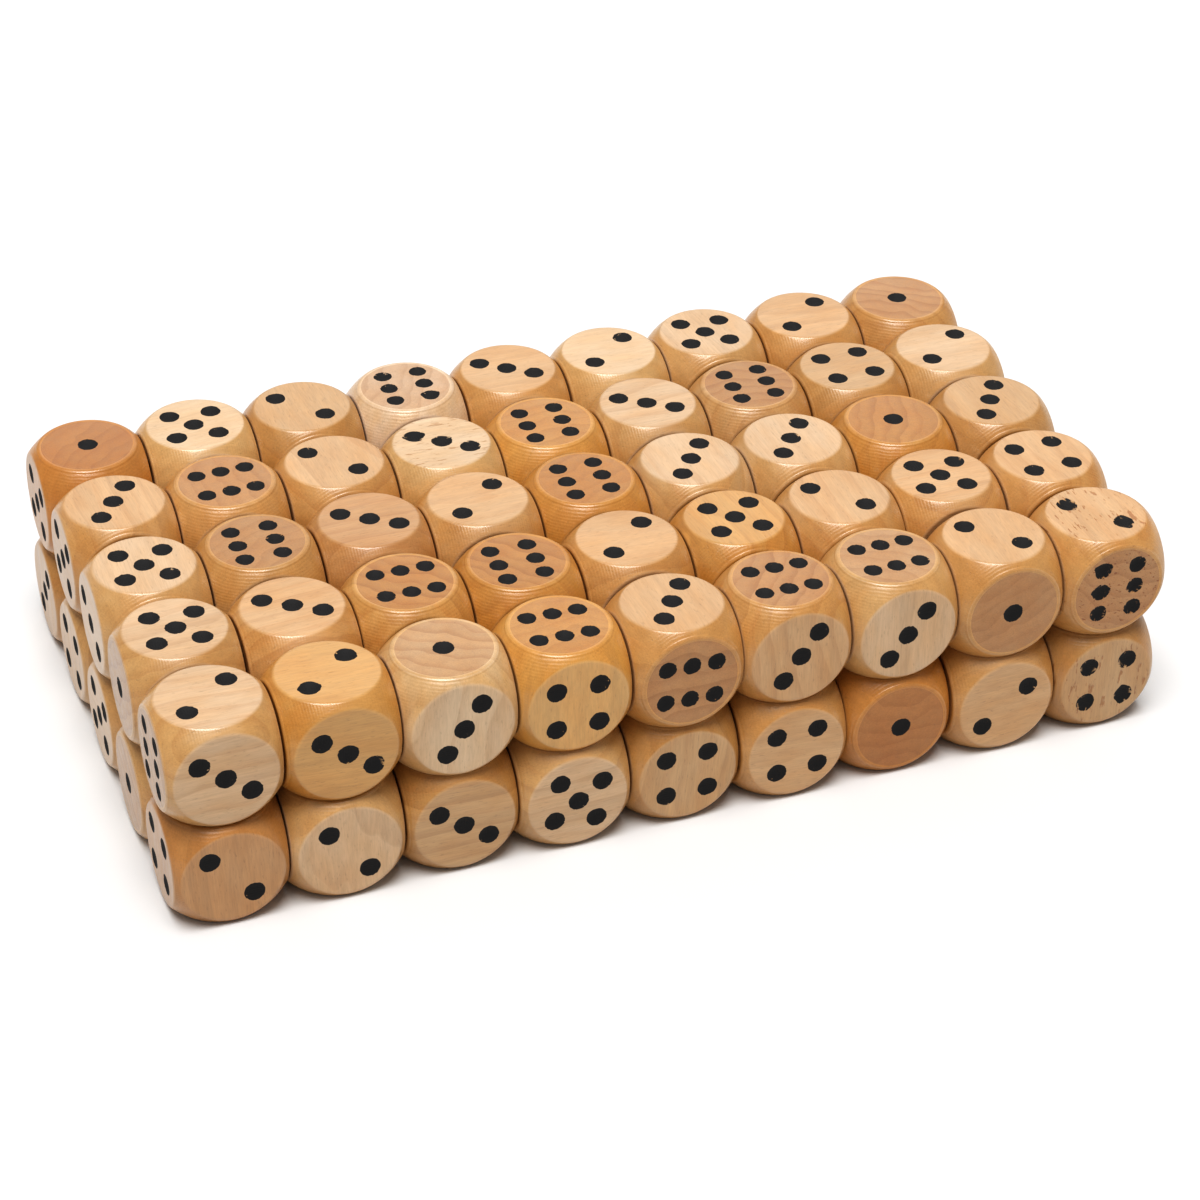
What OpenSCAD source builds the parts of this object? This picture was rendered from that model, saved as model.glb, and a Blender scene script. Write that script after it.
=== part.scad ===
// A block of wooden dice stacked by hand: two layers, each of five rows of nine.
// A die is a cube whose corners are cut back to a ball, so that each face is a round flat,
// with a shallow dish drilled for every pip. The ones lie on the grain's end faces.
// +X runs along the rows, +Y from the front row to the back, +Z up. The origin is on the
// surface that the block stands on, under the middle of the block.

/* [Die] */
// Distance between two opposite faces of a die
die_edge = 30; // [24:0.5:90]
// Width of the strip left between a round flat and the side of the die
corner_strip = 1.7; // [0.8:0.1:3]

/* [Pips] */
// Diameter of a pip on the faces one to five
pip_d = 5.5; // [4:0.1:7]
// Diameter of a pip on the six
six_pip_d = 4.9; // [3.5:0.1:6]
// Depth of the dish that makes a pip
pip_depth = 0.6; // [0.3:0.05:1]
// Wood left between the outer pips and the rim of the flat
pip_margin = 2.4; // [1:0.1:3]
// Angle between the grain and the line through the two's pips
two_angle = 41; // [30:1:60]
// Angle between the grain and the line through the three's pips
three_angle = 36; // [30:1:60]
// How far the drilling jig turns the five, clockwise as its face is read
five_turn = 6; // [0:1:15]
// Angle between the grain side of the six and its corner pips
six_angle = 53; // [48:1:58]

/* [Stack] */
// Mean gap between two neighbours in a row
column_gap = 0.46; // [0.3:0.02:3]
// Mean gap between two rows
row_gap = 1.1; // [0.7:0.05:4]
// Smallest gap that the hand-laid dice leave between them
least_gap = 0.15; // [0.05:0.01:0.25]

/* [Looseness] */
// How far a pattern of pips may sit off the middle of its face
jig_shift = 0.35; // [0:0.05:0.6]
// How far a pattern of pips may be turned on its face
jig_turn = 2; // [0:0.5:4]

/* [Hidden] */
$fn = 64;

// The upper layer from the front row to the back row, each row from left to right.
// The first digit of a die is the face on top, and the second is the face at the front.
top_layer = [
    [23, 23, 13, 64, 36, 63, 63, 21, 26],
    [53, 32, 64, 65, 24, 51, 26, 53, 46],
    [56, 62, 35, 23, 65, 36, 31, 14, 36],
    [31, 63, 21, 32, 62, 35, 65, 42, 24],
    [14, 54, 26, 65, 32, 23, 56, 24, 15]
];
// The lower layer's front row, and its left column behind the front row
bottom_front = [12, 62, 23, 35, 14, 54, 21, 42, 64];
bottom_left = [24, 31, 12, 15];
// The faces of the dice inside the lower layer follow each other in this order
core_faces = [12, 23, 31, 46, 54, 65];

columns = len(top_layer[0]);
rows = len(top_layer);
core_split = 5;
row_letters = "abcde";

flat_r = die_edge / 2 - corner_strip;
ball_r = norm([die_edge / 2, flat_r]);
column_pitch = die_edge + column_gap;
row_pitch = die_edge + row_gap;

// A turned die sticks out by up to turn_reach, and the rest of its gap is left to shift it in
turn_share = 0.75;
turn_reach = turn_share * (min(column_gap, row_gap) - least_gap) / 2;
turn_play = asin(turn_reach / flat_r);
x_play = (column_gap - least_gap) / 2 - turn_reach;
y_play = (row_gap - least_gap) / 2 - turn_reach;

// A value from -1 to 1 that looks random but is always the same for one die and one use
function wobble(id, use) = sin(7 * id * id + 59 * id * use + 131 * use);
function die_id(layer, row, column) = 1 + column + columns * (row + rows * layer);

// The pips of each face about its centre, in the plane of the face
function reach(d) = flat_r - pip_margin - d / 2;
function around(distance, angles) = [for (a = angles) distance * [cos(a), sin(a)]];
quarters = [0, 90, 180, 270];
six_corner = around(reach(six_pip_d), [six_angle])[0];
patterns = [
    [[0, 0]],
    around(reach(pip_d), [two_angle, two_angle + 180]),
    concat([[0, 0]], around(reach(pip_d), [-three_angle, 180 - three_angle])),
    around(reach(pip_d), [for (q = quarters) 45 + q]),
    concat([[0, 0]], around(reach(pip_d), [for (q = quarters) 45 - five_turn + q])),
    [for (side = [-1, 1]) for (step = [-1, 0, 1]) [side * six_corner.x, step * six_corner.y]]
];
// The turn that takes +Z to each face's outward direction: 1 is +X, 2 is +Y and 3 is +Z
face_turns = [[0, 90, 0], [-90, 0, 0], [0, 0, 0], [180, 0, 0], [90, 0, 0], [0, -90, 0]];
face_normals = [[1, 0, 0], [0, 1, 0], [0, 0, 1], [0, 0, -1], [0, -1, 0], [-1, 0, 0]];

function face_at(layer, row, column) =
    layer == 1 ? top_layer[row][column]
    : row == 0 ? bottom_front[column]
    : column == 0 ? bottom_left[row - 1]
    : core_faces[(column + 2 * row) % len(core_faces)];

function layer_name(layer) = layer == 1 ? "top" : "bottom";
function die_name(layer, row, column) =
    str(layer_name(layer), "_die_", row_letters[row], column + 1);

// The ball that cuts a dish of diameter d into a flat at z = die_edge / 2
module dish(d) {
    dish_r = (pow(d / 2, 2) + pow(pip_depth, 2)) / (2 * pip_depth);
    translate([0, 0, die_edge / 2 - pip_depth + dish_r])
        sphere(dish_r);
}

module pips(face, id) {
    d = face == 6 ? six_pip_d : pip_d;
    drift = jig_shift * [wobble(id, face), wobble(id, face + 6)];
    rotate(face_turns[face - 1])
        rotate(jig_turn * wobble(id, face + 12))
            for (p = patterns[face - 1])
                translate(p + drift)
                    dish(d);
}

module blank() {
    intersection() {
        cube(die_edge, center = true);
        sphere(ball_r);
    }
}

// One die about its own centre, with its one at +X, its two at +Y and its three at +Z
module die(id) {
    difference() {
        color("burlywood") blank();
        color("black")
            for (face = [1 : 6])
                pips(face, id);
    }
}

// Turns a die so that the named faces are on top and at the front
module showing(faces) {
    up = face_normals[floor(faces / 10) - 1];
    back = -face_normals[faces % 10 - 1];
    right = cross(back, up);
    multmatrix([concat(right, 0), concat(back, 0), concat(up, 0), [0, 0, 0, 1]])
        children();
}

module stacked_die(layer, row, column) {
    id = die_id(layer, row, column);
    x = (column - (columns - 1) / 2) * column_pitch + x_play * wobble(id, 19);
    y = (row - (rows - 1) / 2) * row_pitch + y_play * wobble(id, 20);
    translate([x, y, (layer + 0.5) * die_edge])
        rotate(turn_play * wobble(id, 21))
            showing(face_at(layer, row, column))
                die(id);
}

// The lower layer's dice behind its front row and beside its left column
module bottom_core(first, last) {
    for (row = [1 : rows - 1])
        for (column = [first : last])
            stacked_die(0, row, column);
}

module bottom_core_left() {
    bottom_core(1, core_split - 1);
}

module bottom_core_right() {
    bottom_core(core_split, columns - 1);
}

bottom_core_left();
bottom_core_right();
for (column = [0 : columns - 1])
    stacked_die(0, 0, column);
for (row = [1 : rows - 1])
    stacked_die(0, row, 0);
for (row = [0 : rows - 1])
    for (column = [0 : columns - 1])
        stacked_die(1, row, column);
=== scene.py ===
# %% [markdown]
# # A block of wooden dice
# The object is a block of loose hardwood dice, laid by hand in two layers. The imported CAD
# model gives the frame: how big the block is, where it stands and which die rides on what.
# This file makes what is seen of it: turned corners, drilled and painted pips, grain and
# varnish. All lengths are worked out in millimetres and become metres in the meshes.

# %% Load the frame
import bpy
import numpy as np
from mathutils import Matrix, Vector
from mathutils.geometry import delaunay_2d_cdt


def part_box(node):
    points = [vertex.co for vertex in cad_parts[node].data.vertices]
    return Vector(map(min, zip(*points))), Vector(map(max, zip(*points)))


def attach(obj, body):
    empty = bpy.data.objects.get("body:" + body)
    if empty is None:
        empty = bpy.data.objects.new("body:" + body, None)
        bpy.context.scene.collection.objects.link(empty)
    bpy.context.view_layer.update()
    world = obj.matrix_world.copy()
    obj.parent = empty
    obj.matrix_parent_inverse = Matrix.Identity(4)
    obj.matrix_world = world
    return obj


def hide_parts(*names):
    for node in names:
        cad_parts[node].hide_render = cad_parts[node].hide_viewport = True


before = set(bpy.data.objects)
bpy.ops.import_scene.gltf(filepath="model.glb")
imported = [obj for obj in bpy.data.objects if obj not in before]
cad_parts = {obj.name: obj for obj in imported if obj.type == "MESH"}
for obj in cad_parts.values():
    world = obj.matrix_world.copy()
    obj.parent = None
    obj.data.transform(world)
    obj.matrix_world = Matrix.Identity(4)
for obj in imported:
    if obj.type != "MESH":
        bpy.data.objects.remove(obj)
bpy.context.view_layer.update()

MM = 0.001
TAU = 2 * np.pi
low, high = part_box("bottom_core_left")
edge = (high[2] - low[2]) / MM

# %% [markdown]
# ## The camera
# A product shot of a flat block is taken from above one corner with a long lens, so that
# the rows stay nearly parallel. The camera could be placed by its coordinates. Here it
# circles a point between the two layers, because an angle, a height and a distance are
# easier to change. The distance is counted in dice.

# %% Camera
azimuth, elevation, roll = np.radians([-21.3, 34.4, 0.84])
lens = 100.0
far_clip = 20.0
camera_distance = 30.1 * edge * MM
aim = Vector((-0.03, -0.49, 1.0)) * edge * MM


def add_camera():
    """Stands on a sphere about the aim, looks at its middle and leans by the roll."""
    level = np.cos(elevation)
    away = Vector((np.sin(azimuth) * level, -np.cos(azimuth) * level, np.sin(elevation)))
    camera = bpy.data.objects.new("camera", bpy.data.cameras.new("camera"))
    camera.data.lens = lens
    camera.data.clip_end = far_clip
    turn = (-away).to_track_quat("-Z", "Y").to_matrix().to_4x4()
    lean = Matrix.Rotation(roll, 4, "Z")
    camera.matrix_world = Matrix.Translation(aim + away * camera_distance) @ turn @ lean
    bpy.context.collection.objects.link(camera)
    bpy.context.scene.camera = camera
    return camera


camera = add_camera()
print("camera at", [round(v, 3) for v in camera.matrix_world.translation])

# %% [markdown]
# ## Which way each die lies
# A die is read from two of its faces: the one on top and the one at the front. Opposite
# faces add up to seven, and the one, two and three run counter-clockwise about their
# corner, so the other four follow. Hand-laid dice also stand a little off their places.
# Random numbers would do that, but a wave of the die's own number gives the same value
# here as in the CAD model.

# %% Layout
top_layer = [
    [23, 23, 13, 64, 36, 63, 63, 21, 26],
    [53, 32, 64, 65, 24, 51, 26, 53, 46],
    [56, 62, 35, 23, 65, 36, 31, 14, 36],
    [31, 63, 21, 32, 62, 35, 65, 42, 24],
    [14, 54, 26, 65, 32, 23, 56, 24, 15],
]
bottom_front = [12, 62, 23, 35, 14, 54, 21, 42, 64]
bottom_left = [24, 31, 12, 15]
core_faces = [12, 23, 31, 46, 54, 65]
rows, columns = len(top_layer), len(top_layer[0])
core_split = 5
normals = {
    1: (1, 0, 0), 2: (0, 1, 0), 3: (0, 0, 1),
    4: (0, 0, -1), 5: (0, -1, 0), 6: (-1, 0, 0),
}


def wobble(die_id, use):
    """The sine of a quadratic in the die's number: irregular, from -1 to 1."""
    return np.sin(np.radians(7 * die_id**2 + 59 * die_id * use + 131 * use))


def die_number(layer, row, column):
    """Counts from one, along the rows, then from row to row, then up to the next layer."""
    return 1 + column + columns * (row + rows * layer)


def faces_at(layer, row, column):
    """The face on top and the face at the front, as two digits."""
    if layer == 1:
        return top_layer[row][column]
    if row == 0:
        return bottom_front[column]
    if column == 0:
        return bottom_left[row - 1]
    return core_faces[(column + 2 * row) % len(core_faces)]


def die_turn(faces):
    """Rows that take the die's own directions to right, back and up."""
    on_top, at_front = divmod(faces, 10)
    up = np.array(normals[on_top], float)
    back = -np.array(normals[at_front], float)
    return np.array([np.cross(back, up), back, up])


print(f"{2 * rows * columns} dice; the front left one shows {faces_at(1, 0, 0)}")

# %% [markdown]
# ## Sizes of a die
# A die starts as a sawn cube. Its corners are turned down to a ball, which leaves a round
# flat on each face, and a drill with a round nose dishes the pips. The edge comes from the
# frame. The other values are the CAD model's, in millimetres.

# %% Sizes
half = edge / 2
corner_strip = 1.7
pip_r = {face: 2.75 for face in range(1, 6)} | {6: 2.45}
pip_depth = 0.6
pip_margin = 2.4
two_angle, three_angle, five_turn, six_angle = np.radians([41, 36, 6, 53])
column_gap, row_gap, least_gap = 0.46, 1.1, 0.15
jig_shift, jig_turn = 0.35, np.radians(2)
turn_share = 0.75

flat_r = half - corner_strip
ball_r = np.hypot(half, flat_r)
turn_reach = turn_share * (min(column_gap, row_gap) - least_gap) / 2
turn_play = np.arcsin(turn_reach / flat_r)
x_play = (column_gap - least_gap) / 2 - turn_reach
y_play = (row_gap - least_gap) / 2 - turn_reach
print(f"flats of {2 * flat_r:.1f} mm on a ball of {2 * ball_r:.1f} mm")


# %% Where the pips are
def around(distance, angles):
    """Points at one distance from the middle of a face."""
    return [(distance * np.cos(a), distance * np.sin(a)) for a in angles]


def pip_places(face):
    """The pips of a face about its middle, their rims pip_margin inside the flat's rim."""
    reach = flat_r - pip_margin - pip_r[face]
    quarters = np.arange(4) * TAU / 4
    if face == 1:
        return [(0, 0)]
    if face == 2:
        return around(reach, [two_angle, two_angle + np.pi])
    if face == 3:
        return [(0, 0)] + around(reach, [-three_angle, np.pi - three_angle])
    if face == 4:
        return around(reach, TAU / 8 + quarters)
    if face == 5:
        return [(0, 0)] + around(reach, TAU / 8 - five_turn + quarters)
    across, along = around(reach, [six_angle])[0]
    return [(side * across, step * along) for side in (-1, 1) for step in (-1, 0, 1)]


print("pips on each face:", [len(pip_places(face)) for face in range(1, 7)])

# %% [markdown]
# ## The surface of one face
# A cube with a bevel modifier gives neither a round flat nor a ball, and a boolean leaves
# slivers. So each face is built as rings about its own axis: over the flat's border, round
# its softened rim and down the ball to where the next face takes over. The six pieces meet
# exactly, because their angles divide an eighth of a turn. Round the end-grain faces the
# turning tool leaves two fine grooves, one inside the flat's rim and one outside it.

# %% Rings of a face
# Where the circles lie: from the rim inwards on the flat, and from the rim down the ball
border = np.array([1.6, 1.3, 1.1, 0.9, 0.7])
shoulder = np.array([0.25, 0.43, 0.6])
# How far the grooves sink the same circles on an end-grain face
border_dent = np.array([0, -0.02, 0, -0.06, -0.01])
shoulder_dent = np.array([-0.01, -0.06, 0])
rim_soft = 0.55
rim_circles, ball_circles = 4, 3


def face_rings(turns):
    """Circles about +Z, from the flat's border to the edge of the face's share of the ball.

    The rim is a quadratic curve from the flat to the ball. The shoulder follows on the
    ball, and the last circles spread evenly to the angle at which the sideways reach
    equals the height. The last result is how deep the two grooves sink each circle.
    """
    angle = np.arange(turns) * TAU / turns
    spoke = np.stack([np.cos(angle), np.sin(angle)], axis=1)
    start = np.arctan2(flat_r, half) + rim_soft / ball_r
    corner = np.array([flat_r, half])
    ends = corner - [rim_soft, 0], ball_r * np.array([np.sin(start), np.cos(start)])
    t = np.linspace(0, 1, rim_circles)[:, None]
    curve = (1 - t) ** 2 * ends[0] + 2 * t * (1 - t) * corner + t**2 * ends[1]
    slope = (1 - t) * (corner - ends[0]) + t * (ends[1] - corner)
    ball = start + shoulder / ball_r
    radius = np.concatenate([flat_r - border, curve[:, 0], ball_r * np.sin(ball)])
    height = np.concatenate([np.full(len(border), half), curve[:, 1], ball_r * np.cos(ball)])
    lean = np.concatenate([np.zeros(len(border)), np.arctan2(-slope[:, 1], slope[:, 0]), ball])
    last = np.arctan(1 / np.abs(spoke).max(axis=1))
    share = np.linspace(0, 1, ball_circles + 1)[1:, None]
    polar = ball[-1] + share * (last - ball[-1])
    radius = np.concatenate([np.tile(radius[:, None], turns), ball_r * np.sin(polar)])
    height = np.concatenate([np.tile(height[:, None], turns), ball_r * np.cos(polar)])
    tilt = np.concatenate([np.tile(lean[:, None], turns), polar])
    circles = np.stack([radius * spoke[:, 0], radius * spoke[:, 1], height], axis=2)
    across = np.sin(tilt)
    facing = np.stack([across * spoke[:, 0], across * spoke[:, 1], np.cos(tilt)], axis=2)
    flat_rim, last_part = np.zeros(rim_circles), np.zeros(ball_circles)
    dent = np.concatenate([border_dent, flat_rim, shoulder_dent, last_part])
    return circles, facing, dent


def grooved(circles, facing, dent):
    """The normals of a face whose circles sink by their dents, from the slope along a spoke."""
    path = np.linalg.norm(np.diff(circles[:, 0], axis=0), axis=1)
    slope = np.gradient(dent, np.concatenate([[0], np.cumsum(path)]))
    length = np.maximum(np.linalg.norm(circles[..., :2], axis=2, keepdims=True), 1e-9)
    spoke = circles[..., :2] / length
    sine, cosine = np.linalg.norm(facing[..., :2], axis=2), facing[..., 2]
    along = np.concatenate([spoke * cosine[..., None], -sine[..., None]], axis=2)
    turned = facing - slope[:, None, None] * along
    return turned / np.linalg.norm(turned, axis=2, keepdims=True)


sample_rings = face_rings(64)[0]
print("rings and points a ring:", sample_rings.shape[:2])


# %% Rings of a pip
collar = 0.3
lip_in, lip_out, lip_drop = 0.14, 0.12, 0.02
# How much of the dish's slope is left at each circle, from the middle to the collar
slope_left = np.array([1, 1, 0.9, 0.45, 0.05, 0])


def pip_rings(radius, turns):
    """A ball-nosed dish: circles whose depth follows a sphere through the pip's rim.

    The last circles are the soft lip and a narrow collar on the flat. A circle's depth is
    the sphere's height there, less its height at the rim.
    """
    dish_r = (radius**2 + pip_depth**2) / (2 * pip_depth)
    rho = np.array([0.36 * radius, 0.7 * radius, radius - lip_in,
                    radius, radius + lip_out, radius + collar])
    inside = np.minimum(rho, radius)
    depth = dish_r - pip_depth - np.sqrt(dish_r**2 - inside**2)
    depth[rho == radius] = -lip_drop
    lean = -np.arcsin(inside / dish_r) * slope_left
    angle = np.arange(turns) * TAU / turns
    spoke = np.stack([np.cos(angle), np.sin(angle)], axis=1)
    circles = np.empty((len(rho), turns, 3))
    circles[..., :2] = rho[:, None, None] * spoke
    circles[..., 2] = half + np.minimum(depth, 0)[:, None]
    facing = np.empty_like(circles)
    facing[..., :2] = np.sin(lean)[:, None, None] * spoke
    facing[..., 2] = np.cos(lean)[:, None]
    return circles, facing, rho, angle


sample_dish = pip_rings(pip_r[1], 32)[0]
print("heights of a pip's circles:", np.round(sample_dish[:, 0, 2] - half, 2), "mm")


# %% [markdown]
# ## One die as a pattern
# All dice share one arrangement of faces, so it is worked out once: rings for each face,
# a dish for each pip, and triangles that fill the flat between them. The fill is a
# constrained Delaunay net, the plain way to join round holes with a round border. Every
# point remembers which face and which pip it belongs to, so that a single die can then
# shift its pips and fray their edges.


# %% Helpers for faces of a net
def bands(first, ring_count, turns):
    """Quads between neighbouring circles, numbered from first."""
    ring, step = np.meshgrid(np.arange(ring_count - 1), np.arange(turns), indexing="ij")
    a = first + ring * turns + step
    b = first + ring * turns + (step + 1) % turns
    return np.stack([a, a + turns, b + turns, b], axis=-1).reshape(-1, 4)


def fan(centre, first, turns):
    """Triangles from one point to a circle."""
    step = np.arange(turns)
    return np.stack([np.full(turns, centre), first + step, first + (step + 1) % turns], 1)


def fill_between(outer, holes, points):
    """Triangles between a round border and its round holes.

    The net first covers the holes too. A triangle in a hole has all its corners on that
    hole, and no other triangle has.
    """
    loops = [outer] + holes
    index = np.concatenate(loops)
    flat = [Vector(p) for p in points[index][:, :2]]
    starts = np.cumsum([0] + [len(loop) for loop in loops])
    edges = [
        (a + k, a + (k + 1) % (b - a))
        for a, b in zip(starts, starts[1:])
        for k in range(b - a)
    ]
    all_faces, exactness = 0, 1e-6
    _, _, triangles, origin, _, _ = delaunay_2d_cdt(flat, edges, [], all_faces, exactness)
    back = np.array([source[0] for source in origin])
    triangles = back[np.array(triangles)]
    owner = np.repeat(np.arange(len(loops)), [len(loop) for loop in loops])[triangles]
    in_hole = (owner[:, 0] > 0) & (owner == owner[:, :1]).all(axis=1)
    triangles = index[triangles[~in_hole]]
    a, b, c = (points[triangles[:, k]][:, :2] for k in range(3))
    clockwise = np.cross(b - a, c - a) < 0
    triangles[clockwise] = triangles[clockwise][:, ::-1]
    return triangles


print("quads between two circles of three points:", bands(0, 2, 3).tolist())


# %% The pattern
# Each face's own directions, so that its middle is on +Z and it is seen from outside
axes = {
    1: ((0, 0, -1), (0, 1, 0), (1, 0, 0)),
    2: ((1, 0, 0), (0, 0, -1), (0, 1, 0)),
    3: ((1, 0, 0), (0, 1, 0), (0, 0, 1)),
    4: ((1, 0, 0), (0, -1, 0), (0, 0, -1)),
    5: ((1, 0, 0), (0, 0, 1), (0, -1, 0)),
    6: ((0, 0, 1), (0, 1, 0), (-1, 0, 0)),
}


def die_pattern(turns, pip_turns):
    """Points and faces of a die in which nothing is off its place.

    place and facing are in the frame of the point's own face, whose middle is on +Z.
    rho and angle place a pip's points about the pip; pip is -1 everywhere else.
    """
    names = ("place", "facing", "face", "pip", "rho", "angle", "groove")
    parts = {name: [] for name in names}
    quads, triangles = [], []
    count = pip_count = 0

    def add(place, facing, face, pip=-1, rho=0.0, angle=0.0, groove=(0, 0, 0)):
        nonlocal count
        number = len(place)
        parts["place"].append(place)
        parts["facing"].append(facing)
        parts["groove"].append(np.broadcast_to(groove, (number, 3)))
        for name, value in (("face", face), ("pip", pip), ("rho", rho), ("angle", angle)):
            parts[name].append(np.broadcast_to(value, number))
        count += number
        return count - number

    for face in range(1, 7):
        circles, facing, dent = face_rings(turns)
        groove = facing * dent[:, None, None] * (face in (1, 6))
        if face in (1, 6):
            facing = grooved(circles, facing, dent)
        start = add(circles.reshape(-1, 3), facing.reshape(-1, 3), face,
                    groove=groove.reshape(-1, 3))
        quads.append(bands(start, len(circles), turns))
        outer, holes = start + np.arange(turns), []
        for x, y in pip_places(face):
            dish, dish_facing, rho, angle = pip_rings(pip_r[face], pip_turns)
            at = np.array([x, y, 0])
            first = add(
                dish.reshape(-1, 3) + at, dish_facing.reshape(-1, 3), face, pip_count,
                np.repeat(rho, pip_turns), np.tile(angle, len(rho)),
            )
            bottom = np.array([[x, y, half - pip_depth]])
            centre = add(bottom, np.array([[0.0, 0, 1]]), face, pip_count)
            quads.append(bands(first, len(rho), pip_turns))
            triangles.append(fan(centre, first, pip_turns))
            holes.append(first + (len(rho) - 1) * pip_turns + np.arange(pip_turns))
            pip_count += 1
        triangles.append(fill_between(outer, holes, np.concatenate(parts["place"])))
    pattern = {name: np.concatenate(value) for name, value in parts.items()}
    pattern["basis"] = np.array([axes[face] for face in pattern["face"]], float)
    own = np.einsum("ni,nij->nj", pattern["place"], pattern["basis"])
    # Points that two faces share become one, so the skin is closed
    rounded = np.round(own, 4)
    _, first, merged = np.unique(rounded, axis=0, return_index=True, return_inverse=True)
    merged = merged.ravel()
    pattern = {name: value[first] for name, value in pattern.items()}
    pattern["quads"] = merged[np.concatenate(quads)]
    pattern["triangles"] = merged[np.concatenate(triangles)]
    return pattern


def open_edges(pattern):
    """How many edges don't have exactly one face on each side."""
    sides = []
    for faces in (pattern["quads"], pattern["triangles"]):
        count = faces.shape[1]
        sides += [faces[:, [k, (k + 1) % count]] for k in range(count)]
    start, end = np.concatenate(sides).T
    points = len(pattern["place"])
    there, back = start * points + end, end * points + start
    return len(there) - len(np.intersect1d(there, back))


fine = die_pattern(turns=64, pip_turns=32)
coarse = die_pattern(turns=40, pip_turns=16)
for pattern in (fine, coarse):
    faces = 2 * len(pattern["quads"]) + len(pattern["triangles"])
    print(len(pattern["place"]), "points,", faces, "triangles, open edges", open_edges(pattern))

# %% [markdown]
# ## Wood that differs from die to die
# Dice are sawn from many boards, so they differ in colour and in how their growth rings
# run. A random colour for each would do. Here the dice that are seen best get one of nine
# tints each, and the others follow a short list. The tints and how they are shared out came
# from clustering measured colours. The ball takes up more varnish than the flats, on some
# dice more than on others, and that was measured too. The rings come from a place in an
# imagined tree: the die's own coordinates, turned about the grain and moved out from the
# pith. The grain runs from the one to the six.

# %% Tints of the boards
# From the greyest and palest board to the deepest, as factors on red, green and blue. They
# are the middles of nine clusters of measured colours, except that the first was adjusted.
# The letters below say which cluster a die fell in. other_boards is a given list.
tints = {
    "a": (1.20, 1.50, 2.15), "b": (1.12, 1.30, 1.55), "c": (1.04, 1.15, 1.31),
    "d": (1.02, 1.03, 1.01), "e": (1.09, 1.05, 0.78), "f": (0.94, 0.95, 0.91),
    "g": (0.99, 0.91, 0.64), "h": (0.88, 0.81, 0.72), "i": (0.93, 0.78, 0.53),
}
top_boards = ["cgbeddcdd", "cdggdgddd", "cfhdgccgf", "dddbecffc", "ibfadbcdd"]
front_boards = "hcfcfdidf"
other_boards = "dgcdfdgcdcgd"
# Measured depth of colour on the upper dice's balls, in fifths of the usual one. One digit
# in the last row was changed.
ball_fifths = ["543676666", "542564545", "553474544", "456655366", "665267688"]


def board_of(layer, row, column):
    """The letter of a die's board."""
    if layer == 1:
        return top_boards[row][column]
    if row == 0:
        return front_boards[column]
    return other_boards[(5 * column + 7 * row) % len(other_boards)]


def ball_depth(layer, row, column):
    """How strongly the ball of a die is darker than its flats."""
    if layer == 1:
        return int(ball_fifths[row][column]) / 5
    return 1 + 0.25 * wobble(die_number(layer, row, column), 42)


print("boards:", {name: "".join(top_boards).count(name) for name in tints})


# %% Place in the tree
most_lean = np.radians(5)
pith_distance, pith_spread = 62, 38
trunk_length = 300


def in_the_tree(own, number):
    """Turns the die about its grain, leans it a little and moves it out from the pith."""
    turn = np.pi * wobble(number, 31)
    lean = most_lean * wobble(number, 32)
    out = pith_distance + pith_spread * wobble(number, 33)
    x, y, z = own.T
    y, z = y * np.cos(turn) - z * np.sin(turn), y * np.sin(turn) + z * np.cos(turn)
    x, y = x * np.cos(lean) - y * np.sin(lean), x * np.sin(lean) + y * np.cos(lean)
    return np.stack([x + trunk_length * wobble(number, 34), y + out, z], axis=1)


middle = in_the_tree(np.zeros((1, 3)), die_number(1, 0, 0))
print("middle of the front left die in its tree:", middle.round(0), "mm")


# %% Frayed pips
wave_height, wave_fade = 0.14, 0.29
nick_depth, nick_width = 0.7, 0.3
# How much of a nick is left at these distances from the rim
nick_at, nick_share = [-1.2, -0.3, 0, collar], [0, 0.5, 1, 0.85]
# How torn the worst dice are: layer, row and column, then a value up to one
torn_dice = {
    (1, 0, 8): 1.0, (0, 0, 8): 0.9, (1, 3, 3): 0.9, (1, 4, 3): 0.6,
    (1, 0, 1): 0.6, (1, 2, 6): 0.5, (1, 2, 3): 0.4,
}
hardly_torn = 0.1


def frayed(pattern, number, torn):
    """How far a pip's points move outwards: short waves, and nicks where fibres tore out.

    The waves are sines of four wavelengths, which fade out on both sides of the rim. A nick
    is a bell curve about each end of the grain. It takes the collar along, so that the
    circles keep their order.
    """
    pip, angle, rho = pattern["pip"], pattern["angle"], pattern["rho"]
    off_rim = rho - np.array([pip_r[face] for face in pattern["face"]])
    seed = number * 7.3 + pip * 2.9
    waves = sum(np.sin(k * angle + seed * (k + 0.7)) / k for k in (3, 5, 8, 13)) * wave_height
    near_rim = np.clip(1 - np.abs(off_rim) / wave_fade, 0, 1)
    nick = 0.0
    for side in (0, np.pi):
        about = side + 0.5 * np.sin(seed * 3.7 + side)
        off = np.angle(np.exp(1j * (angle - about)))
        size = nick_depth * torn * (0.4 + 0.6 * np.sin(seed * 9.1 + 2 * side))
        nick = nick + np.maximum(size, 0) * np.exp(-((off / nick_width) ** 2))
    taken = np.interp(off_rim, nick_at, nick_share)
    return np.where(pip >= 0, waves * near_rim + nick * taken, 0.0)


sample_fray = frayed(fine, die_number(1, 0, 8), torn_dice[1, 0, 8])
print(f"the most torn die frays by up to {sample_fray.max():.2f} mm")


# %% One die of the block
groove_depth, groove_spread = 0.7, 0.3


def turned_by(angle):
    """The matrix of a turn about +Z."""
    cosine, sine = np.cos(angle), np.sin(angle)
    return np.array([[cosine, -sine, 0], [sine, cosine, 0], [0, 0, 1]])


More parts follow.
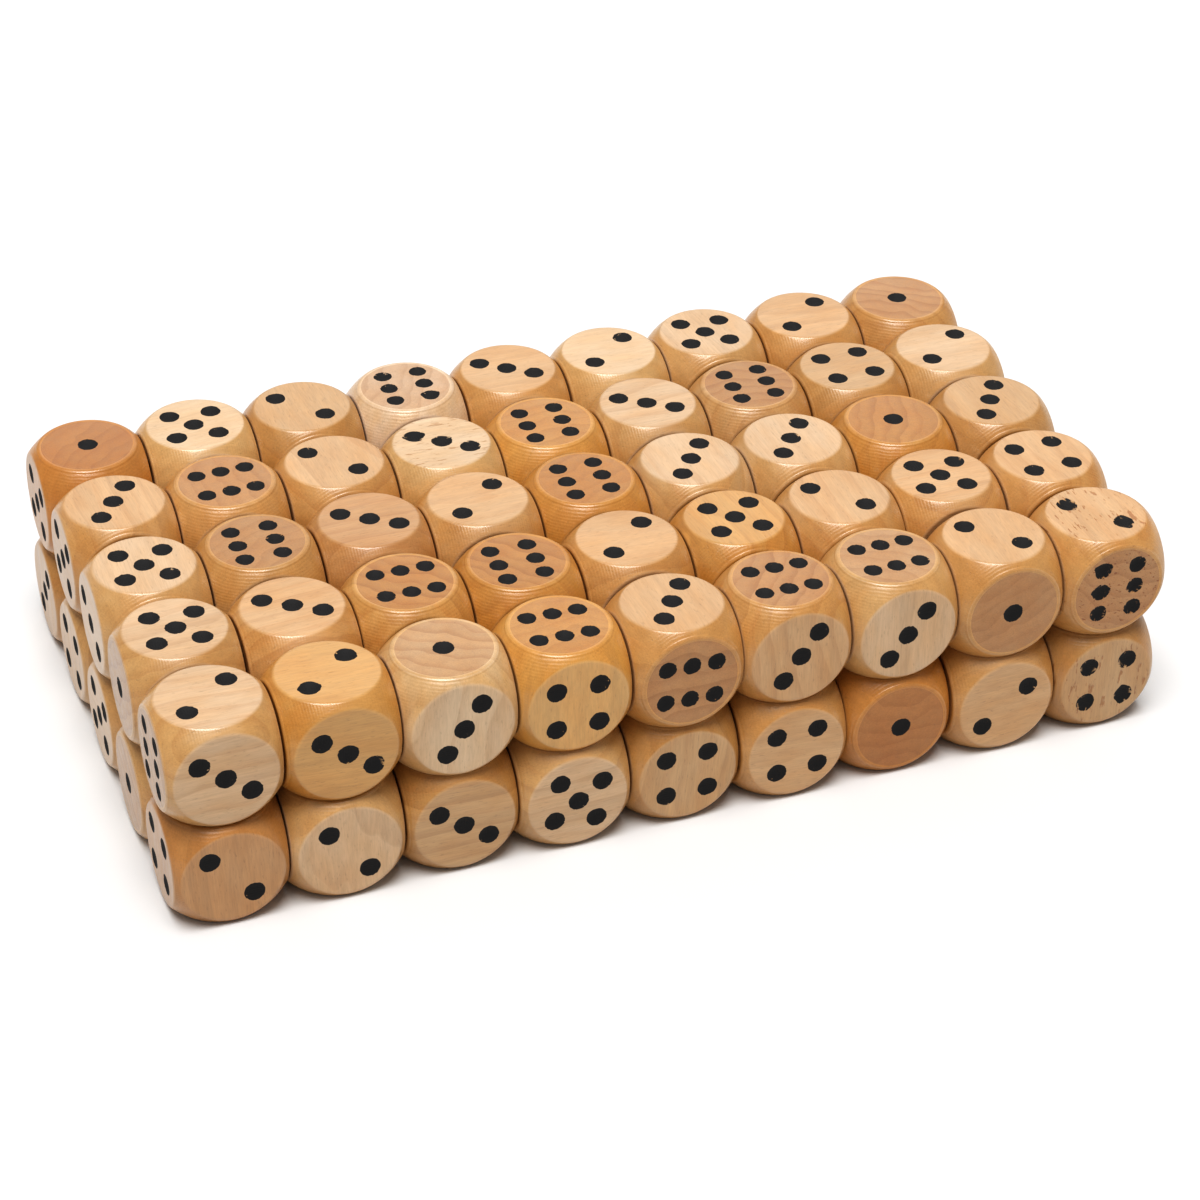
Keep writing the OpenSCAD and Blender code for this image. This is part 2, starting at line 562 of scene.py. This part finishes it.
def die_points(pattern, layer, row, column):
    """One die's points, normals and finish values, in its place in the block."""
    number = die_number(layer, row, column)
    place, facing = pattern["place"].copy(), pattern["facing"]
    face, on_pip = pattern["face"], pattern["pip"] >= 0
    torn = torn_dice.get((layer, row, column), hardly_torn)
    fray = frayed(pattern, number, torn)
    place[:, 0] += fray * np.cos(pattern["angle"])
    place[:, 1] += fray * np.sin(pattern["angle"])
    place += pattern["groove"] * (groove_depth + groove_spread * wobble(number, 40))
    shift = jig_shift * np.stack([wobble(number, face), wobble(number, face + 6)], axis=1)
    turn = jig_turn * wobble(number, face + 12)
    x, y = (place[:, :2] + shift).T
    moved_x = x * np.cos(turn) - y * np.sin(turn)
    moved_y = x * np.sin(turn) + y * np.cos(turn)
    place[on_pip, :2] = np.stack([moved_x, moved_y], axis=1)[on_pip]
    own = np.einsum("ni,nij->nj", place, pattern["basis"])
    own_facing = np.einsum("ni,nij->nj", facing, pattern["basis"])
    yaw = turn_play * wobble(number, 21)
    turned = turned_by(yaw) @ die_turn(faces_at(layer, row, column))
    centre = [
        (column - (columns - 1) / 2) * (edge + column_gap) + x_play * wobble(number, 19),
        (row - (rows - 1) / 2) * (edge + row_gap) + y_play * wobble(number, 20),
        (layer + 0.5) * edge,
    ]
    radius = np.array([pip_r[f] for f in face])
    rim_distance = np.where(on_pip, np.minimum(pattern["rho"] - radius, collar), collar)
    return {
        "place": own @ turned.T + centre,
        "facing": own_facing @ turned.T,
        "own": own,
        "tree": in_the_tree(own, number),
        "tint": np.tile(tints[board_of(layer, row, column)], (len(own), 1)),
        "rim_distance": rim_distance,
        "torn": np.full(len(own), torn),
        "figure": np.full(len(own), 0.5 + 0.5 * wobble(number, 41)),
        "depth": np.full(len(own), ball_depth(layer, row, column)),
    }


sample = die_points(fine, 1, 0, 0)
print("the front left die spans", np.ptp(sample["place"], axis=0).round(2), "mm")


# %% [markdown]
# ## From arrays to a mesh
# The dice that can be lifted or drawn out are one piece each. The lower layer's core never
# moves and hardly shows, so its dice go into two pieces, on a coarser pattern. The finish
# values ride on the points as attributes, which a material can read.


# %% Mesh writer
vector_values = ("own", "tree", "tint")
number_values = ("rim_distance", "torn", "figure", "depth")


def wooden_piece(name, pattern, dice):
    """Writes some dice into one mesh in metres, with their normals and finish values."""
    arrays = [die_points(pattern, *die) for die in dice]
    data = {key: np.concatenate([values[key] for values in arrays]) for key in arrays[0]}
    each = len(pattern["place"])
    offsets = np.arange(len(dice))[:, None, None] * each
    quads = (pattern["quads"] + offsets).reshape(-1, 4)
    triangles = (pattern["triangles"] + offsets).reshape(-1, 3)
    corners = np.concatenate([quads.ravel(), triangles.ravel()])
    sizes = np.concatenate([np.full(len(quads), 4), np.full(len(triangles), 3)])
    mesh = bpy.data.meshes.new(name)
    mesh.vertices.add(len(data["place"]))
    mesh.vertices.foreach_set("co", (data["place"] * MM).ravel())
    mesh.loops.add(len(corners))
    mesh.loops.foreach_set("vertex_index", corners)
    mesh.polygons.add(len(sizes))
    mesh.polygons.foreach_set("loop_start", np.concatenate([[0], np.cumsum(sizes)[:-1]]))
    mesh.polygons.foreach_set("use_smooth", np.ones(len(sizes), bool))
    mesh.update(calc_edges=True)
    for key in vector_values:
        attribute = mesh.attributes.new(key, "FLOAT_VECTOR", "POINT")
        attribute.data.foreach_set("vector", data[key].ravel())
    for key in number_values:
        attribute = mesh.attributes.new(key, "FLOAT", "POINT")
        attribute.data.foreach_set("value", data[key])
    length = np.linalg.norm(data["facing"], axis=1, keepdims=True)
    mesh.normals_split_custom_set_from_vertices(data["facing"] / length)
    piece = bpy.data.objects.new(name, mesh)
    bpy.context.collection.objects.link(piece)
    return piece


print("values on every point:", vector_values + number_values)

# %% [markdown]
# ## The finish: varnished hardwood with painted pips
# One picture of wood can't wrap six faces so that rings, streaks and pores run on over
# every corner. A solid pattern can: it is worked out from the place in the tree, so a face
# across the grain shows arcs and dots, and a face along it shows lines. Each effect is a
# small node group, and the material puts them together.


# %% Node helpers
def add_node(tree, kind, links=(), **settings):
    """A node with its settings, and its inputs set to values or linked to sockets."""
    made = tree.nodes.new(kind)
    for name, value in settings.items():
        setattr(made, name, value)
    for name, value in dict(links).items():
        if isinstance(value, bpy.types.NodeSocket):
            tree.links.new(value, made.inputs[name])
        else:
            made.inputs[name].default_value = value
    return made


def calculate(tree, operation, first, second=0.0, third=0.0):
    """One step of arithmetic on numbers. MULTIPLY_ADD is first times second plus third."""
    links = {0: first, 1: second, 2: third}
    return add_node(tree, "ShaderNodeMath", links, operation=operation).outputs[0]


def product(tree, first, second):
    """Two masks or factors as one."""
    return calculate(tree, "MULTIPLY", first, second)


def from_axis(tree, split):
    """The distance from the x axis: the root of y squared plus z squared."""
    squares = [product(tree, split.outputs[k], split.outputs[k]) for k in (1, 2)]
    return calculate(tree, "SQRT", calculate(tree, "ADD", *squares))


def ramp(tree, value, low, high, to_low=0.0, to_high=1.0):
    """A smooth step: to_low until the value passes low, and to_high from high on."""
    links = {"Value": value, "From Min": low, "From Max": high}
    links |= {"To Min": to_low, "To Max": to_high}
    smooth = {"interpolation_type": "SMOOTHSTEP"}
    return add_node(tree, "ShaderNodeMapRange", links, **smooth).outputs[0]


def drop(tree, value, low, high):
    """A smooth step down: one until the value passes low, and zero from high on."""
    return ramp(tree, value, low, high, 1.0, 0.0)


def noise(tree, vector, scale, stretch=(1, 1, 1), detail=2.0):
    """Noise on coordinates in millimetres. A small factor draws it out along that axis."""
    drawn_out = {0: vector, 1: stretch}
    scaled = add_node(tree, "ShaderNodeVectorMath", drawn_out, operation="MULTIPLY")
    links = {"Vector": scaled.outputs[0], "Scale": scale, "Detail": detail, "Roughness": 0.55}
    return add_node(tree, "ShaderNodeTexNoise", links).outputs[0]


def blend(tree, factor, first, second, kind="MIX"):
    """The second colour over the first. A colour mix has its sockets at 0, 6 and 7."""
    links = {0: factor, 6: first, 7: second}
    mix = add_node(tree, "ShaderNodeMix", data_type="RGBA", blend_type=kind)
    for number, value in links.items():
        if isinstance(value, bpy.types.NodeSocket):
            tree.links.new(value, mix.inputs[number])
        else:
            mix.inputs[number].default_value = value
    return mix.outputs[2]


def new_group(name, inputs, outputs):
    """An empty node group with vector or number inputs and number outputs."""
    group = bpy.data.node_groups.new(name, "ShaderNodeTree")
    for label, kind in inputs:
        group.interface.new_socket(label, in_out="INPUT", socket_type=kind)
    for label in outputs:
        group.interface.new_socket(label, in_out="OUTPUT", socket_type="NodeSocketFloat")
    return group, group.nodes.new("NodeGroupInput"), group.nodes.new("NodeGroupOutput")


def outputs_of(group):
    """The names of what a group gives."""
    return [item.name for item in group.interface.items_tree if item.in_out == "OUTPUT"]


VECTOR, NUMBER = "NodeSocketVector", "NodeSocketFloat"
groups = {}
print("a group's inputs are of the kinds", VECTOR, "and", NUMBER)


# %% Growth rings
def growth_rings():
    """Late wood: a slow darkening over each year's ring that ends at once.

    The distance from the pith, bent by slow noise, is divided by the width of a ring. The
    whole part says which year it is, and gives that year a value of its own. Late wood is
    the square of a step over the rest.
    """
    inputs = [("Tree", VECTOR), ("Width", NUMBER)]
    tree, ins, outs = new_group("growth rings", inputs, ["Late wood", "Year"])
    place = ins.outputs["Tree"]
    bend = noise(tree, place, scale=0.09, stretch=(0.35, 1, 1), detail=1.5)
    split = add_node(tree, "ShaderNodeSeparateXYZ", {0: place})
    most_bend = 9.0
    bent = calculate(tree, "MULTIPLY_ADD", bend, most_bend, from_axis(tree, split))
    years = calculate(tree, "DIVIDE", bent, ins.outputs["Width"])
    part = calculate(tree, "FRACT", years)
    late_from, late_until = 0.2, 0.95
    slow = calculate(tree, "POWER", ramp(tree, part, late_from, late_until), 2.0)
    stop = drop(tree, part, late_until, 1.0)
    year = add_node(tree, "ShaderNodeTexWhiteNoise", noise_dimensions="1D")
    tree.links.new(calculate(tree, "FLOOR", years), year.inputs["W"])
    tree.links.new(product(tree, slow, stop), outs.inputs["Late wood"])
    tree.links.new(year.outputs["Value"], outs.inputs["Year"])
    return tree


groups["rings"] = growth_rings()
print("growth rings give", outputs_of(groups["rings"]))


# %% Fibres, pores and flecks
def fibres():
    """Solid noises drawn out along the grain, from broad clouds to single pores.

    Their scales are in features a millimetre. Pores and tears keep only a noise's peaks.
    """
    outputs = ["Mottle", "Streak", "Fine", "Pores", "Tears"]
    tree, ins, outs = new_group("fibres", [("Tree", VECTOR)], outputs)
    place = ins.outputs["Tree"]
    pores = noise(tree, place, scale=2.4, stretch=(0.2, 1, 1), detail=2.0)
    flecks = noise(tree, place, scale=0.75, stretch=(0.28, 1.6, 1), detail=3.0)
    values = {
        "Mottle": noise(tree, place, scale=0.11, stretch=(0.5, 1, 1), detail=2.0),
        "Streak": noise(tree, place, scale=0.5, stretch=(0.08, 1, 1), detail=3.0),
        "Fine": noise(tree, place, scale=2.6, stretch=(0.07, 1, 1), detail=3.0),
        "Pores": ramp(tree, pores, 0.60, 0.72),
        "Tears": ramp(tree, flecks, 0.60, 0.66),
    }
    for label, value in values.items():
        tree.links.new(value, outs.inputs[label])
    return tree


groups["fibres"] = fibres()
print("fibres give", outputs_of(groups["fibres"]))


# %% Turning marks
def turning_marks():
    """Fine ridges about the grain's axis, on the ball only, as the tool leaves them.

    They are a sine of the place along the grain. The ball is where no coordinate reaches
    the flats. Slant grows towards the end grain, which takes up more varnish.
    """
    inputs = [("Own", VECTOR), ("Half", NUMBER)]
    tree, ins, outs = new_group("turning marks", inputs, ["Ridges", "Ball", "Slant"])
    size = add_node(tree, "ShaderNodeVectorMath", {0: ins.outputs["Own"]}, operation="ABSOLUTE")
    split = add_node(tree, "ShaderNodeSeparateXYZ", {0: size.outputs[0]})
    widest = calculate(tree, "MAXIMUM", split.outputs[0], split.outputs[1])
    widest = calculate(tree, "MAXIMUM", widest, split.outputs[2])
    below = calculate(tree, "SUBTRACT", ins.outputs["Half"], widest)
    ball = ramp(tree, below, 0.02, 0.5)
    uneven = noise(tree, ins.outputs["Own"], scale=0.3, detail=1.0)
    ridge_pace, ridge_wander = 9.0, 4.0
    even = product(tree, split.outputs[0], ridge_pace)
    phase = calculate(tree, "MULTIPLY_ADD", uneven, ridge_wander, even)
    ridges = product(tree, calculate(tree, "SINE", phase), ball)
    tree.links.new(ridges, outs.inputs["Ridges"])
    tree.links.new(ball, outs.inputs["Ball"])
    along = calculate(tree, "DIVIDE", split.outputs[0], ins.outputs["Half"])
    tree.links.new(ramp(tree, along, 0.1, 0.8, 0.75, 1.25), outs.inputs["Slant"])
    return tree


groups["turning"] = turning_marks()
print("turning marks give", outputs_of(groups["turning"]))


# %% Paint in the pips
def paint_cover():
    """Where paint lies: inside the rim, give or take what crept along the fibres.

    The distance from the rim plus a noise says where it ends. Paint is worn near the rim
    where another noise peaks, and torn dice have higher peaks.
    """
    inputs = [("Tree", VECTOR), ("Rim distance", NUMBER), ("Torn", NUMBER)]
    tree, ins, outs = new_group("paint cover", inputs, ["Paint", "Worn"])
    creep = noise(tree, ins.outputs["Tree"], scale=1.1, stretch=(0.45, 1.4, 1.4), detail=3.0)
    most_creep = 0.5
    edge_at = calculate(tree, "MULTIPLY_ADD", creep, most_creep, -most_creep / 2)
    inside = calculate(tree, "ADD", ins.outputs["Rim distance"], edge_at)
    edge_blur = 0.05
    paint = drop(tree, inside, -edge_blur, edge_blur)
    thin = noise(tree, ins.outputs["Tree"], scale=0.8, stretch=(0.6, 1, 1), detail=4.0)
    near = ramp(tree, ins.outputs["Rim distance"], -1.1, -0.1)
    chip_more = 0.12
    chipped = calculate(tree, "MULTIPLY_ADD", ins.outputs["Torn"], chip_more, thin)
    worn = product(tree, ramp(tree, chipped, 0.69, 0.74), near)
    tree.links.new(paint, outs.inputs["Paint"])
    tree.links.new(worn, outs.inputs["Worn"])
    return tree


groups["paint"] = paint_cover()
print("paint cover gives", outputs_of(groups["paint"]))


# %% End-grain flats
def end_flats():
    """The discs across the grain, inside the groove of the one's and the six's flat.

    They are where the distance from the axis is less than the radius and the depth below
    the flat is less than a dish's. Collar is the rest of the same flat, and Bead is the
    crest between its two grooves.
    """
    inputs = [("Own", VECTOR), ("Half", NUMBER), ("Radius", NUMBER)]
    tree, ins, outs = new_group("end flats", inputs, ["End", "Collar", "Bead"])
    split = add_node(tree, "ShaderNodeSeparateXYZ", {0: ins.outputs["Own"]})
    out = calculate(tree, "ABSOLUTE", split.outputs[0])
    inside = calculate(tree, "SUBTRACT", ins.outputs["Radius"], from_axis(tree, split))
    below = calculate(tree, "SUBTRACT", ins.outputs["Half"], out)
    near = drop(tree, below, 1.0, 1.6)
    groove_blur = 0.15
    end = product(tree, ramp(tree, inside, -groove_blur, groove_blur), near)
    tree.links.new(end, outs.inputs["End"])
    rest = calculate(tree, "SUBTRACT", drop(tree, below, 0.05, 0.3), end)
    tree.links.new(rest, outs.inputs["Collar"])
    crest_at = 0.12
    off_crest = calculate(tree, "ABSOLUTE", calculate(tree, "ADD", inside, crest_at))
    crest = product(tree, drop(tree, off_crest, 0.03, 0.16), near)
    tree.links.new(crest, outs.inputs["Bead"])
    return tree


groups["ends"] = end_flats()
print("end flats give", outputs_of(groups["ends"]))

# %% [markdown]
# ## Putting the finish together
# Early wood is pale and late wood is darker. End grain drinks the varnish and goes brown.
# On the ball the grain is cut at a slant, so it is deeper in colour than on the flats. The
# pips are a matt black enamel with no varnish over it, and where it has chipped the wood
# shows. The material could be one long function. It is made in four steps, each of which
# can be changed alone: bare wood, stains, relief and gloss.

# %% Stains
early_wood = (0.575, 0.365, 0.20, 1)
late_wood = (0.42, 0.22, 0.10, 1)
# A stain is a factor on red, green and blue
heart_stain = (0.96, 0.88, 0.77, 1)
end_stain = (0.79, 0.67, 0.54, 1)
ball_stain = (0.91, 0.79, 0.55, 1)
tear_stain = (0.70, 0.53, 0.38, 1)
# Not a stain but a painted highlight: it lightens the crest between the end grain's two grooves
painted_bead_highlight = (1.12, 1.14, 1.14, 1)
black_enamel = (0.010, 0.009, 0.009, 1)


def stained(tree, amount, base, stain):
    """A colour times a stain, as far as amount says."""
    return blend(tree, amount, base, blend(tree, 1.0, base, stain, "MULTIPLY"))


def between(tree, value, low, high):
    """A noise spread from low to high. Noise seldom leaves the range 0.25 to 0.75."""
    return ramp(tree, value, 0.25, 0.75, low, high)


print("the ball's stain leaves", [round(100 * v) for v in ball_stain[:3]], "percent")


# %% Colour of bare wood
ring_contrast = (0.05, 0.28)
end_contrast = 0.20


def bare_wood(tree, masks, figure):
    """Late wood over early wood, a warm heart in places, and a few percent of shading.

    The shading is a product of factors near one: the year's, the streaks', the fibres' and
    the pores'.
    """
    contrast = ramp(tree, figure, 0, 1, *ring_contrast)
    contrast = calculate(tree, "MULTIPLY_ADD", masks["End"], end_contrast, contrast)
    colour = blend(tree, product(tree, masks["Late wood"], contrast), early_wood, late_wood)
    colour = stained(tree, between(tree, masks["Mottle"], 0, 1), colour, heart_stain)
    year = ramp(tree, masks["Year"], 0, 1, 0.96, 1.03)
    shade = product(tree, year, between(tree, masks["Streak"], 0.95, 1.04))
    shade = product(tree, shade, between(tree, masks["Fine"], 0.93, 1.05))
    pores = calculate(tree, "MULTIPLY_ADD", masks["Pores"], -0.15, 1.0)
    shade = product(tree, shade, pores)
    grey = add_node(tree, "ShaderNodeCombineXYZ", {0: shade, 1: shade, 2: shade})
    return blend(tree, 1.0, colour, grey.outputs[0], "MULTIPLY")


print("rings show by", ring_contrast, "and by", end_contrast, "more on end grain")


# %% Colour of stained wood, with a painted highlight on the bead
tears_from = 0.6


def turned_wood(tree, masks, colour, depth, torn):
    """End grain, ball and torn fibres, each in its stain, and a painted highlight on the bead.
    The torn mask comes along.

    The ball's stain is stronger where the grain is cut at a slant and the heart is warm.
    """
    colour = stained(tree, masks["End"], colour, end_stain)
    turned = calculate(tree, "MAXIMUM", masks["Ball"], masks["Collar"])
    uneven = product(tree, between(tree, masks["Mottle"], 0.75, 1.2), masks["Slant"])
    amount = product(tree, turned, product(tree, uneven, depth))
    colour = stained(tree, amount, colour, ball_stain)
    # Painted highlight: the crest between the grooves is made lighter
    colour = stained(tree, masks["Bead"], colour, painted_bead_highlight)
    flat = calculate(tree, "SUBTRACT", 1.0, turned)
    tears = product(tree, masks["Tears"], ramp(tree, torn, tears_from, 1.0))
    tears = product(tree, tears, flat)
    return stained(tree, tears, colour, tear_stain), tears


print("tear-out shows on the dice", [die for die, torn in torn_dice.items() if torn > tears_from])

# %% Relief
relief_step = 0.1 * MM
relief_strength = 0.45


def relief(tree, masks, tears, cover):
    """Heights in steps: fibres, less the pores, then ridges, tear-out and paint."""
    height = product(tree, masks["Fine"], 0.9)
    steps = [(masks["Pores"], -0.4), (masks["Ridges"], 0.25), (tears, -2.0), (cover, 0.25)]
    for mask, amount in steps:
        height = calculate(tree, "MULTIPLY_ADD", mask, amount, height)
    links = {"Strength": relief_strength, "Distance": relief_step, "Height": height}
    return add_node(tree, "ShaderNodeBump", links).outputs[0]


print("a step of the relief is", relief_step / MM, "mm")



# %% Material
# The width of a year's ring, and how far inside its rim an end-grain flat has its groove
ring_width = 4.4
groove_inset = 0.85
satin_roughness = (0.30, 0.40)
enamel_roughness = 0.7
varnish_coat = 0.4


def effects(tree, place, own, rim_distance, torn):
    """Places the groups in a material, feeds them, and gives all their masks by name."""
    used = {}
    for name, group in groups.items():
        used[name] = add_node(tree, "ShaderNodeGroup", node_tree=group)
    for name in ("rings", "fibres", "paint"):
        tree.links.new(place, used[name].inputs["Tree"])
    for name in ("turning", "ends"):
        tree.links.new(own, used[name].inputs["Own"])
        used[name].inputs["Half"].default_value = half
    used["ends"].inputs["Radius"].default_value = flat_r - groove_inset
    used["rings"].inputs["Width"].default_value = ring_width
    tree.links.new(rim_distance, used["paint"].inputs["Rim distance"])
    tree.links.new(torn, used["paint"].inputs["Torn"])
    return {label.name: label for group in used.values() for label in group.outputs}


def varnished_wood():
    """Colour, gloss and relief of a varnished die from its attributes."""
    material = bpy.data.materials.new("varnished_wood")
    material.use_nodes = True
    tree = material.node_tree
    tree.nodes.clear()

    def attribute(name, output="Fac"):
        return add_node(tree, "ShaderNodeAttribute", attribute_name=name).outputs[output]

    torn = attribute("torn")
    place, own = attribute("tree", "Vector"), attribute("own", "Vector")
    masks = effects(tree, place, own, attribute("rim_distance"), torn)
    colour = bare_wood(tree, masks, attribute("figure"))
    colour, tears = turned_wood(tree, masks, colour, attribute("depth"), torn)
    colour = blend(tree, 1.0, colour, attribute("tint", "Color"), "MULTIPLY")

    cover = product(tree, masks["Paint"], calculate(tree, "SUBTRACT", 1.0, masks["Worn"]))
    colour = blend(tree, cover, colour, black_enamel)
    satin = between(tree, masks["Streak"], *satin_roughness)
    surface = add_node(tree, "ShaderNodeBsdfPrincipled", {
        "Base Color": colour,
        "Roughness": ramp(tree, cover, 0, 1, satin, enamel_roughness),
        "Normal": relief(tree, masks, tears, cover),
        "IOR": 1.5,
        "Coat Weight": ramp(tree, cover, 0, 1, varnish_coat, 0.0),
        "Coat Roughness": 0.15,
    })
    add_node(tree, "ShaderNodeOutputMaterial", {"Surface": surface.outputs[0]})
    return material


wood = varnished_wood()
print("material", wood.name, "with", len(wood.node_tree.nodes), "nodes")

# %% [markdown]
# ## All the dice
# One mesh with all the dice in it would be the simplest, but then no die could be lifted or
# drawn out. So every loose die is its own piece, stands for its own CAD node and rides on
# its own body. The two halves of the core stand for theirs and ride on the body that never
# moves.

# %% Dice
letters = "abcde"


def put_in_frame(piece, body, node):
    """Gives a piece its material and its body, and hides the CAD node that it stands for."""
    piece.data.materials.append(wood)
    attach(piece, body)
    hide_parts(node)


def loose_dice():
    """Layer, row and column of each die that is a body of its own."""
    top = [(1, row, column) for row in range(rows) for column in range(columns)]
    front = [(0, 0, column) for column in range(columns)]
    left = [(0, row, 0) for row in range(1, rows)]
    return top + front + left


for layer, row, column in loose_dice():
    level = ("bottom", "top")[layer]
    spot = f"{letters[row]}{column + 1}"
    piece = wooden_piece(f"wooden_{level}_{spot}", fine, [(layer, row, column)])
    node = f"{level}_die_{spot}"
    put_in_frame(piece, node, node)
print(len(loose_dice()), "loose dice, each its own piece")

# %% Core
core_columns = {"left": range(1, core_split), "right": range(core_split, columns)}
for side, span in core_columns.items():
    dice = [(0, row, column) for row in range(1, rows) for column in span]
    piece = wooden_piece(f"wooden_core_{side}", coarse, dice)
    put_in_frame(piece, "core", f"bottom_core_{side}")
    print(piece.name, "has", len(dice), "dice and", len(piece.data.loops), "corners")

# %% [markdown]
# ## Floor and light
# The block stands on a pale seamless sheet. One wide soft light hangs over it, a little to
# the front and the left, so the tops are bright and the fronts are in soft shade. A weak one
# behind it shines in the varnish where the corners round over. Area lamps would do, but
# their light falls off across the sheet, and lamps at a great distance keep it even. The
# pale surroundings light the rest.

# %% Floor
floor_reach = 4.0
floor_drop = 0.05 * MM
paper_white = (0.70, 0.70, 0.70, 1)
paper_roughness = 0.9


def pale_floor():
    """A large square sheet, a hair under the block so that the two never share a plane."""
    square = [(-1, -1), (1, -1), (1, 1), (-1, 1)]
    corners = [(x * floor_reach, y * floor_reach, -floor_drop) for x, y in square]
    mesh = bpy.data.meshes.new("floor")
    mesh.from_pydata(corners, [], [(0, 1, 2, 3)])
    floor = bpy.data.objects.new("floor", mesh)
    bpy.context.collection.objects.link(floor)
    paper = bpy.data.materials.new("white_paper")
    paper.use_nodes = True
    shader = paper.node_tree.nodes["Principled BSDF"]
    shader.inputs["Base Color"].default_value = paper_white
    shader.inputs["Roughness"].default_value = paper_roughness
    mesh.materials.append(paper)
    return floor


floor = pale_floor()
print(floor.name, "reaches", floor_reach, "m to each side")


# %% Light
def wide_lamp(name, come_from, angle, power):
    """A far, wide and even lamp that shines from one direction."""
    light = bpy.data.lights.new(name, "SUN")
    light.angle = np.radians(angle)
    light.energy = power
    lamp = bpy.data.objects.new(name, light)
    lamp.matrix_world = Vector(come_from).to_track_quat("Z", "Y").to_matrix().to_4x4()
    bpy.context.collection.objects.link(lamp)


wide_lamp("overhead", come_from=(-0.12, -0.21, 1.0), angle=34, power=2.45)
wide_lamp("back", come_from=(0.30, 0.77, 0.57), angle=44, power=0.30)
print("lamps:", [lamp.name for lamp in bpy.data.lights])

# %% Surroundings
studio_light = 0.28
world = bpy.data.worlds.new("studio")
world.use_nodes = True
background = world.node_tree.nodes["Background"]
background.inputs["Color"].default_value = (1, 1, 1, 1)
background.inputs["Strength"].default_value = studio_light
bpy.context.scene.world = world
view = bpy.context.scene.view_settings
view.view_transform = "Standard"
view.look = "High Contrast"
print("view:", view.view_transform, view.look)
